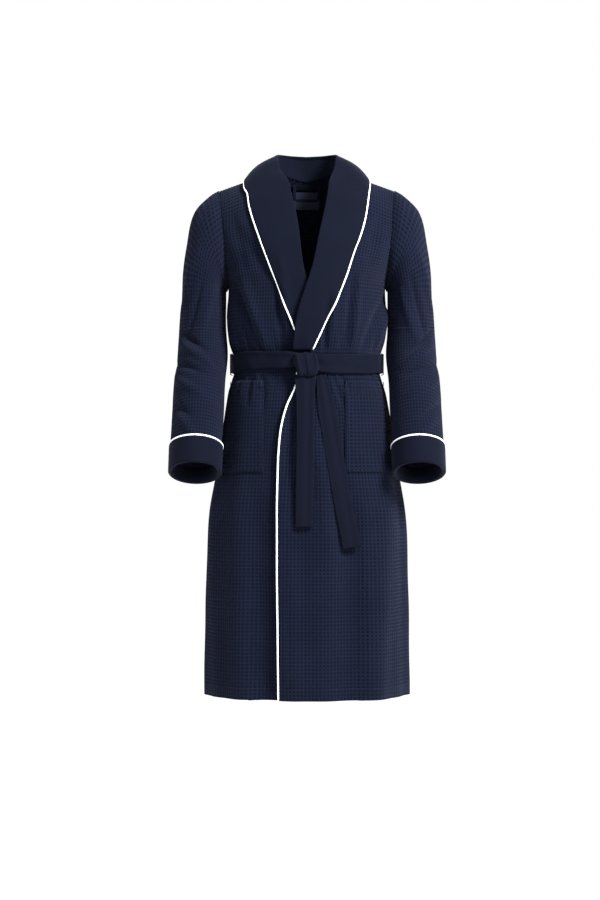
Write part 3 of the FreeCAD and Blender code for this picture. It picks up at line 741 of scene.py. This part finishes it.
# creases of a sleeve: degrees round it (0 outside, 90 in front) and length down it for both ends,
# then half width and depth
SLEEVE_CREASES = [
    (70, 60, 20, 200, 12, 3.5), (95, 90, 55, 250, 10, -4.0), (120, 120, 80, 260, 10, 3.0),
    (20, 210, 110, 290, 9, -4.5), (30, 250, 130, 330, 9, 4.0), (10, 300, 120, 350, 8, -4.5),
    (20, 340, 110, 400, 9, 3.5), (5, 390, 90, 450, 9, -3.5), (40, 430, 120, 520, 9, 3.0),
    (15, 480, 75, 560, 10, -2.5), (-30, 150, 10, 330, 13, -3.5), (-60, 200, -20, 420, 13, 3.5),
    (-90, 260, -40, 520, 14, -3.5), (215, 250, 320, 330, 10, -4.0), (225, 300, 330, 380, 10, 3.5),
    (240, 350, 330, 440, 10, -3.5)]


def armhole_ring(side):
    top_z, low_z = SHOULDER_TIP_Z, UNDERARM_Z
    z = mix(low_z, top_z, (1 + np.cos(RING_TURNS)) / 2)
    z = np.clip(z, low_z + 0.05, top_z - 0.05)
    angle = np.minimum(turn_of_x(along(ARMHOLE, z), z), np.pi / 2)
    front = np.sin(RING_TURNS) > 0
    x, y = section(np.where(front, angle, np.pi - angle), z)
    y = mix(SHOULDER_Y, y, rounding(x, z))
    return np.stack([side * (along(ARMHOLE, z) + 0.8), y, z], -1)


def head_ring(side, angle_deg, length, half_depth):
    angle = math.radians(angle_deg)
    distance = mix(4.0, length, (1 + np.cos(RING_TURNS)) / 2)
    x = 175 + math.sin(angle) * distance
    return np.stack([side * x, -half_depth * np.sin(RING_TURNS), -244 + math.cos(angle) * distance], -1)


def arm_ring(side, z, inner_x, outer_x, middle_y, half_depth, tilt_deg, grow=0.0):
    tilt = math.radians(tilt_deg)
    forward = (half_depth + grow) * np.sin(RING_TURNS)
    x = (inner_x + outer_x) / 2 + ((outer_x - inner_x) / 2 + grow) * np.cos(RING_TURNS)
    return np.stack([side * x, middle_y - forward * math.cos(tilt), z + forward * math.sin(tilt)], -1)


def arm_row(z):
    return [z] + [float(along(LOWER_ARM, z, k)) for k in range(1, 6)]


def tube_normals(rings):
    padded_rings = np.concatenate([rings[:, -1:], rings, rings[:, :1]], axis=1)
    normal = grid_normals(padded_rings)[:, 1:-1]
    away = rings - rings.mean(axis=1, keepdims=True)
    facing = np.sign((normal * away).sum(-1, keepdims=True))
    facing[facing == 0] = 1
    return normal * facing


def sleeve_folds(rows):
    """Outward shift over a sleeve's rows (lengths in millimetres) and its columns."""
    length = rows[:, None] + np.zeros(RING)[None, :]
    around = np.degrees(RING_TURNS)[None, :] + np.zeros(len(rows))[:, None]
    shift = 0.7 * np.sin(np.radians(around) * 3 + length / 38) * np.sin(length / 61)
    for a0, s0, a1, s1, width, depth in SLEEVE_CREASES:
        for lap in (-360, 0, 360):
            shift = shift + crease((around + lap) * 1.15, -length, a0 * 1.15, -s0, a1 * 1.15, -s1, width,
                                   depth * FOLD_SCALE)
    return shift * ease((length - 12) / 60)


def sleeve(side, name, waffle, smooth, white):
    coarse = [armhole_ring(side)] + [head_ring(side, *row) for row in HEAD]
    coarse += [arm_ring(side, *row) for row in UPPER_ARM] + [arm_ring(side, *row) for row in LOWER_ARM[1:]]
    rings = refine(np.array(coarse), STEP)
    rows = np.arange(len(rings)) * STEP
    rings = rings + tube_normals(rings) * sleeve_folds(rows)[..., None]
    depth = weave_depth(len(rings), RING)
    face = rings + tube_normals(rings) * (CLOTH / 2 - depth)[..., None]
    uv = weave_uv(len(rings), RING)
    split = int(np.argmin(np.abs(rings[:, 0, 2] - SPLIT_Z)))
    pieces = []
    for part, low, high in (("upper", 0, split + 1), ("lower", split, len(rings))):
        ring_part, uv_part = facing_out(side, face[low:high], uv[low:high])
        pieces.append(sheet_piece(f"{name}_{part}_sleeve_cloth", ring_part, uv_part, waffle, PANEL_THICK,
                                  wrap=True))
    return pieces + [turned_cuff(side, name, smooth), cuff_cord(side, name, white)]


def turned_cuff(side, name, smooth):
    """Cuff that stands over the sleeve's end and turns in round its lip."""
    heights = np.linspace(CUFF_TOP_Z, SLEEVE_END_Z - 2, 14)
    cuff_rows = [arm_ring(side, *arm_row(z), CUFF_GROW) for z in heights]
    cuff_rows += [arm_ring(side, *arm_row(SLEEVE_END_Z + over_end), grow) for over_end, grow in CUFF_LIP]
    cuff_rows = np.array(cuff_rows)
    cuff_rows, cuff_uv = facing_out(side, cuff_rows, cloth_uv(len(cuff_rows), RING, 3.9, 3.9))
    return sheet_piece(name + "_turned_cuff", cuff_rows, cuff_uv, smooth, 1.2, wrap=True)


def cuff_cord(side, name, white):
    ring = arm_ring(side, *arm_row(CUFF_TOP_Z + 1.5), CUFF_CORD_GROW)
    return rod(name + "_cuff_cord", ring, PIPING_RADIUS, white, closed=True)


# ---------------------------------------------------------------- pockets
POCKET_INNER_X = {"left": 80.0, "right": 92.0}
POCKET_LOW_Z, POCKET_TOP_Z = -636.0, -440.0
POCKET_OUTER_TURN = math.radians(66)
POCKET_WIDTH, POCKET_HEIGHT = 120, 196


def pocket(side, name, inner_x, material):
    rows, cols = 50, 34
    v = np.linspace(0, 1, rows)[:, None] + np.zeros(cols)
    u = np.linspace(0, 1, cols)[None, :] + np.zeros((rows, 1))
    z = mix(POCKET_LOW_Z, POCKET_TOP_Z, v)
    turn = side * mix(turn_of_x(inner_x, z), POCKET_OUTER_TURN, u)
    x, y = section(turn, z, CLOTH + 0.8 + 2.5 * np.sin(np.pi * u) * np.sqrt(v))
    points = np.stack([x, y, z], -1)
    if side > 0:
        points[..., 1] -= left_out(x, z)
    points = points + outward(points) * body_folds(turn, x, z, False)[..., None]
    edge = np.minimum(np.minimum(u * POCKET_WIDTH, (1 - u) * POCKET_WIDTH), v * POCKET_HEIGHT)
    band = np.where(v > 0.88, 0.4, ease(edge / 6))
    rim = np.where(edge < 2.5, 0.5, 0) + np.where(v > 0.88, -0.3, 0)
    face = woven(points, band=band, lift=CLOTH / 2 - rim)
    face, uv = facing_out(side, face, weave_uv(rows, cols))
    return sheet_piece(name + "_patch_pocket", face[::-1], uv[::-1], material, PANEL_THICK)


# ---------------------------------------------------------------- belt
BELT_OUT = 6.1


def belt_stand_off(x):
    return np.where(x > 0, left_out(x, np.full_like(x, BELT_Z)), LAYER * ease((x + 95) / 60))


def waistband(material):
    """The belt round the waist, a flattened loop of cloth sewn double."""
    around, rows = 300, 13
    turn = np.arange(around) * 2 * np.pi / around
    signed = (turn + np.pi) % (2 * np.pi) - np.pi
    x0, _ = section(turn, BELT_Z, BELT_OUT)
    front = ease((np.cos(turn) + 0.1) / 0.3)
    near_left = front * ease((x0 - 5) / 30) * (1 - ease((x0 - 130) / 30))
    near_right = front * ease((-x0 - 5) / 30) * (1 - ease((-x0 - 130) / 30))
    top = BELT_TOP_Z - 4 * near_left + 3 * near_right
    low = BELT_BOTTOM_Z - 4 * near_left + 6 * near_right
    pinch = front * np.exp(-((x0 + 2) / 34) ** 2)
    top, low = top - 3 * pinch, low + 5 * pinch
    rings = []
    for v in np.linspace(0, 1, rows):
        z = mix(low, top, v)
        x, y = section(turn, z, BELT_OUT)
        extra = np.where(np.cos(turn) > 0, belt_stand_off(x), 0)
        creases = 0.9 * np.sin(v * 9 + signed * 3.1 + 0.7) * front * (0.4 + pinch)
        slanted = np.exp(-((v - 0.84 + 0.0011 * (x0 + 30)) / 0.06) ** 2)
        creases += 1.3 * near_right * slanted * ease((x0 + 120) / 50)
        creases += 0.5 * np.sin(signed * 23 + v * 3) * np.sin(signed * 7)
        creases += 2.2 * np.exp(-((np.abs(signed) - np.pi / 2) / 0.1) ** 2)
        creases -= 0.7 * (np.exp(-((v - 0.06) / 0.03) ** 2) + np.exp(-((v - 0.94) / 0.03) ** 2))
        points = np.stack([x, y - extra, z], -1)
        rings.append(points + outward(points) * (1.2 + creases)[:, None])
    rings = np.array(rings)[::-1]
    uv = cloth_uv(rows, around, 3.25, 3.6)
    return sheet_piece("belt_band", rings, uv, material, 2.4, wrap=True)


def knot_piece(material):
    """The wrap of the belt over the knot: a band wound round it that closes in at both sides."""
    around, across = 96, 40
    front_y = float(section(np.array(0.0), BELT_Z, BELT_OUT)[1]) - LAYER
    a = np.linspace(-np.pi, np.pi, around + 1)[:-1]
    w = np.sin(np.linspace(-np.pi / 2, np.pi / 2, across))
    wide, angle = np.meshgrid(w, a)
    belly = (1 - np.abs(wide) ** 7) ** 0.3
    cos_a, sin_a = np.cos(angle), np.sin(angle)
    reach = (np.abs(cos_a) ** 3.2 + np.abs(sin_a) ** 3.2) ** (-1 / 3.2)
    pleats = (1.6 * np.sin(wide * 7 + 0.9 * sin_a + 0.5) + 0.6 * np.sin(wide * 15 + 2 * sin_a)) * belly
    y = front_y - 7.5 - (8.5 * belly + pleats * 0.7) * reach * cos_a
    z = BELT_Z - 6 + (23.5 * belly + 0.5 * pleats * belly) * reach * sin_a
    x = -1 + 23.5 * wide * (1 + 0.05 * sin_a) - 1.5 * sin_a
    points = np.stack([x, y, z], -1)[::-1]
    uv = cloth_uv(around, across, 1.4, 1.1)
    return sheet_piece("belt_knot_wrap", points.swapaxes(0, 1), uv.swapaxes(0, 1), material, 1.2, wrap=True)


def tail(name, start, end, top_width, out, seed, material):
    """A hanging end of the belt with pressed lengthwise creases and a stitched end."""
    start, end = np.array(start, float), np.array(end, float)
    length = np.linalg.norm(end - start)
    rows, cols = int(length / 4), 19
    ahead = (end - start) / length
    across = np.array([-ahead[2], 0, ahead[0]])
    v = np.linspace(0, 1, rows)[:, None] + np.zeros(cols)
    w = np.linspace(-1, 1, cols)[None, :] + np.zeros((rows, 1))
    half = mix(top_width, 36.0, ease(v * 5)) / 2
    sway = 2.0 * np.sin(v * 5 + seed) * v
    centre = start + (end - start) * v[..., None] + across * sway[..., None]
    flat = centre + across * (w * half)[..., None]
    lift = out + 1.2 * np.sin(v * 7 + seed * 2) * v + 1.6 * w * np.sin(v * 6 + seed) * v
    lift += 0.9 * np.cos(w * 5.5 + 0.6 + v) * (1 - 0.5 * v) - 0.6 * np.exp(-((np.abs(w) - 0.9) / 0.05) ** 2)
    lift -= 0.6 * np.exp(-((v * length - length + 9) / 2.5) ** 2)
    points = surface(flat[..., 0], flat[..., 2], 0)
    normal = near_shoulder_normal(points, False)
    points = points + normal * (lift + 1.2)[..., None]
    return sheet_piece(name, points[:, ::-1], cloth_uv(rows, cols, 4.0, 2.0), material, 2.4)


# ---------------------------------------------------------------- stitches
def stitches(name, paths, thread, length=3.0, gap=1.5, radius=0.38):
    """Rows of single thread stitches lying along paths on the cloth."""
    verts, faces = [], []
    for path in paths:
        steps = np.linalg.norm(np.diff(path, axis=0), axis=1)
        run = np.concatenate([[0], np.cumsum(steps)])
        places = np.arange(2, run[-1] - length, length + gap)
        starts = np.stack([np.interp(places, run, path[:, k]) for k in range(3)], -1)
        ends = np.stack([np.interp(places + length, run, path[:, k]) for k in range(3)], -1)
        for a, b in zip(starts, ends):
            ahead = (b - a) / np.linalg.norm(b - a)
            side = np.cross(ahead, [0.3, 0.9, 0.2])
            side /= np.linalg.norm(side)
            up = np.cross(side, ahead)
            base = len(verts)
            for place, size in ((a, 0.35), ((a + b) / 2, 1.0), (b, 0.35)):
                for s, t in ((1, 0), (0, 1), (-1, 0), (0, -1)):
                    verts.append((place + (side * s + up * t) * radius * size) * MM)
            for ring in (0, 4):
                for k in range(4):
                    n = (k + 1) % 4
                    faces.append((base + ring + k, base + ring + n, base + ring + 4 + n, base + ring + 4 + k))
            faces.append((base + 3, base + 2, base + 1, base))
            faces.append((base + 8, base + 9, base + 10, base + 11))
    mesh = bpy.data.meshes.new(name)
    mesh.from_pydata([tuple(v) for v in verts], [], faces)
    mesh.materials.append(thread)
    return add_object(name, mesh)


def on_front(x, z, stand_off, lift, back=False):
    """Points on the folded outer face of the front or back."""
    turn = turn_of_x(x, z)
    px, py = section(np.pi - turn if back else turn, z)
    points = np.stack([px, py, z], -1)
    if stand_off is not None:
        points[:, 1] -= stand_off(px, z)
    shift = body_folds(np.pi - turn if back else turn, px, z, back) + lift
    return points + outward(points) * shift[:, None]


def hem_line(x, stand_off, lift, back=False):
    return on_front(x, np.full_like(x, HEM_Z + HEM_WIDTH), stand_off, lift, back)


def pocket_seams(name, side, out, lift):
    """Stitching down the inner edge of a pocket, along its foot and under its top band."""
    inner_x = POCKET_INNER_X[name] + 4
    z = np.arange(-441.0, -633.0, -4.0)
    seams = [on_front(np.full_like(z, side * inner_x), z, out, lift)]
    share = np.linspace(0, 1, 40)
    for level, puff in ((-632.0, 0.0), (-464.0, 2.3)):
        turns = side * mix(turn_of_x(np.array(inner_x), level), math.radians(64), share)
        x, _ = section(turns, level)
        seams.append(on_front(x, np.full_like(x, level), out, lift + puff * np.sin(np.pi * share)))
    return seams


def sewn_lines():
    """Paths of the top stitching: hems, the front band and the pockets."""
    lift = CLOTH / 2 + 0.25
    down = np.arange(-436.0, HEM_Z + HEM_WIDTH, -4.0)
    left = [hem_line(np.arange(-38.0, 208.0, 3.0), left_out, lift),
            on_front(along(LEFT_EDGE, down) + 20, down, left_out, lift)]
    rest = [hem_line(np.arange(-208.0, 112.0, 3.0), None, lift),
            hem_line(np.arange(-208.0, 208.0, 3.0), None, lift, True)]
    rest += pocket_seams("left", 1, left_out, lift + CLOTH + 1.2)
    rest += pocket_seams("right", -1, None, lift + CLOTH + 1.2)
    return {"left_front": left, "rest": rest}


# ---------------------------------------------------------------- the robe
CORNER_BEND = 0.014         # metres on each side of the corner's fold line, where corner_bend puts its two points


def corner_bend():
    """Where a bend of the free corner would start and end, across its slanted fold line; the points are not
    used.
    """
    fold_a = surface(np.array(float(along(LEFT_EDGE, CORNER_TOP_Z))), np.array(CORNER_TOP_Z), LAYER) * MM
    fold_b = surface(np.array(CORNER_HEM_X), np.array(HEM_Z), LAYER) * MM
    middle = (fold_a + fold_b) / 2
    across = np.cross(fold_b - fold_a, [0, 1, 0])
    across /= np.linalg.norm(across)
    if across[0] > 0:
        across = -across
    return middle - across * CORNER_BEND, middle + across * CORNER_BEND


def with_corner(obj):
    bend_start, bend_end = corner_bend()
    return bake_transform(obj)


def declare(obj, nodes):
    """Hide the CAD nodes that a piece replaces."""
    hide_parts(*nodes)


def no_stand_off(x, z):
    return 0 * x


def place_panels(waffle):
    front_left = with_corner(left_front(waffle))
    declare(front_left, ["left_front_panel", "left_front_corner"])
    front_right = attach(right_front(waffle), "robe")
    declare(front_right, ["right_front_panel"])
    back_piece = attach(back(waffle), "robe")
    declare(back_piece, ["back_panel"])


def place_facings(smooth):
    edge = lambda z: along(LEFT_EDGE, z) + 2.0
    inner = facing("left_front_facing", edge, lambda z: edge(z) + FACING_WIDTH,
                   lambda x, z: left_out(x, z) - FACING_DEPTH, -430.0, smooth)
    declare(with_corner(inner), ["left_facing", "corner_facing"])
    inner = facing("right_front_facing", lambda z: RIGHT_EDGE_X - FACING_WIDTH + 0 * z,
                   lambda z: RIGHT_EDGE_X + 0 * z, lambda x, z: -UNDER_FACING_DEPTH + 0 * x, -500.0, smooth)
    declare(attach(inner, "robe"), ["right_facing"])


def heights_to_hem(top_z):
    z = np.arange(top_z, HEM_Z - 1, -6.0)
    z[-1] = HEM_Z
    return z


def place_edge_piping(white):
    z = heights_to_hem(-424.0)
    path = on_front(along(LEFT_EDGE, z), z, left_out, 0.6)
    cord = with_corner(rod("front_edge_piping", path, PIPING_RADIUS, white))
    declare(cord, ["left_front_piping", "corner_piping"])
    z = heights_to_hem(-505.0)
    path = on_front(np.full_like(z, RIGHT_EDGE_X + 2.2), z, None, 0.0)
    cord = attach(rod("under_edge_piping", path, PIPING_RADIUS, white), "robe")
    declare(cord, ["right_front_piping"])


def place_collar(smooth, white):
    for name, side, roll, lapel, out in (("left", 1, LEFT_ROLL, LEFT_LAPEL, left_out),
                                         ("right", -1, RIGHT_ROLL, RIGHT_LAPEL, no_stand_off)):
        obj, piping = collar(name, side, roll, lapel, out, smooth, white)
        layers = [name + "_collar", name + "_under_collar"]
        declare(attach(obj, "robe"), layers)
        declare(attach(piping, "robe"), [name + "_collar_piping"])
    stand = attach(collar_stand(smooth), "robe")


def place_sleeves(waffle, smooth, white):
    for name, side in (("left", 1), ("right", -1)):
        arm, forearm = name + "_upper_arm", name + "_forearm"
        upper, lower, cuff, cord = sleeve(side, name, waffle, smooth, white)
        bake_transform(upper)
        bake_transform(lower)
        declare(upper, [name + "_upper_sleeve"])
        declare(lower, [name + "_lower_sleeve"])
        declare(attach(cuff, forearm), [name + "_cuff"])
        declare(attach(cord, forearm), [name + "_cuff_piping"])


def place_pockets(waffle):
    for name, side in (("left", 1), ("right", -1)):
        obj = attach(pocket(side, name, POCKET_INNER_X[name], waffle), "robe")
        declare(obj, [name + "_pocket"])


def place_belt(belt_cloth):
    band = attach(waistband(belt_cloth), "robe")
    declare(band, ["belt_waistband"])
    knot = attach(knot_piece(belt_cloth), "robe")
    declare(knot, ["belt_knot"])
    front_tail = tail("front_belt_tail", (-4, 0, -432), (-4, 0, -752), 43, 20.5, 0.4, belt_cloth)
    declare(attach(front_tail, "front_tail"), ["belt_tail_front"])
    side_tail = tail("side_belt_tail", (28, 0, -434), (90, 0, -796), 22, 19.5, 2.2, belt_cloth)
    declare(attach(side_tail, "side_tail"), ["belt_tail_side"])


def place_stitches(thread):
    seams = sewn_lines()
    on_left = stitches("front_stitches", seams["left_front"], thread)
    with_corner(on_left)
    elsewhere = stitches("robe_stitches", seams["rest"], thread)
    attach(elsewhere, "robe")


def dress_cad_trims(materials):
    """The small trims stay as the CAD solids, in the robe's own materials."""
    for node, material in materials.items():
        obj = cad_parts[node]
        obj.data.materials.clear()
        obj.data.materials.append(material)


def build_robe():
    waffle = waffle_material()
    smooth = ribbed_material("smooth_cloth", 3, 0.02)
    belt_cloth = ribbed_material("belt_cloth", 2, 0.0)
    white, label, thread = piping_material(), label_material(), thread_material()
    place_panels(waffle)
    place_facings(smooth)
    place_edge_piping(white)
    place_collar(smooth, white)
    place_sleeves(waffle, smooth, white)
    place_pockets(waffle)
    place_belt(belt_cloth)
    place_stitches(thread)
    dress_cad_trims({"left_belt_loop": belt_cloth, "right_belt_loop": belt_cloth, "neck_tape": belt_cloth,
                     "hanging_loop": belt_cloth, "neck_label": label, "care_label": label,
                     "pocket_bar_tacks": thread})


# ---------------------------------------------------------------- floor, light and camera
FLOOR_Z = -1.72             # metres; the wearer's feet
CAMERA_PLACE = (-0.015, -4.6, -0.589)


def area_light(name, place, target, size, power):
    light = bpy.data.lights.new(name, "AREA")
    light.shape = "RECTANGLE"
    light.size, light.size_y = size
    light.energy = power
    obj = add_object(name, light)
    obj.location = place
    direction = np.array(target) - np.array(place)
    obj.rotation_euler = mathutils.Vector(direction).to_track_quat("-Z", "Y").to_euler()


def studio():
    mesh = bpy.data.meshes.new("floor")
    corners = [(x, y, FLOOR_Z) for x, y in ((-9.0, -9.0), (9.0, -9.0), (9.0, 9.0), (-9.0, 9.0))]
    mesh.from_pydata(corners, [], [(0, 1, 2, 3)])
    pale, _, _ = shader("pale_floor", (0.95, 0.95, 0.95), 0.95, 0.0)
    mesh.materials.append(pale)
    add_object("floor", mesh)
    world = bpy.data.worlds.new("studio")
    world.use_nodes = True
    world.node_tree.nodes["Background"].inputs[0].default_value = (1, 1, 1, 1)
    world.node_tree.nodes["Background"].inputs[1].default_value = 1.0
    bpy.context.scene.world = world
    area_light("key", (1.9, -2.2, 1.5), (0, 0, -0.5), (0.9, 0.9), 430)
    area_light("fill", (-2.6, -1.6, 0.4), (0, 0, -0.6), (1.2, 2.0), 15)
    area_light("rim", (0.5, 2.6, 1.2), (0, 0, -0.3), (2.0, 1.5), 50)
    data = bpy.data.cameras.new("camera")
    data.lens = 84
    data.sensor_width = 36
    camera = add_object("camera", data)
    camera.location = CAMERA_PLACE
    camera.rotation_euler = (math.pi / 2, 0, 0)
    bpy.context.scene.camera = camera
    bpy.context.scene.view_settings.view_transform = "Standard"


build_robe()
studio()
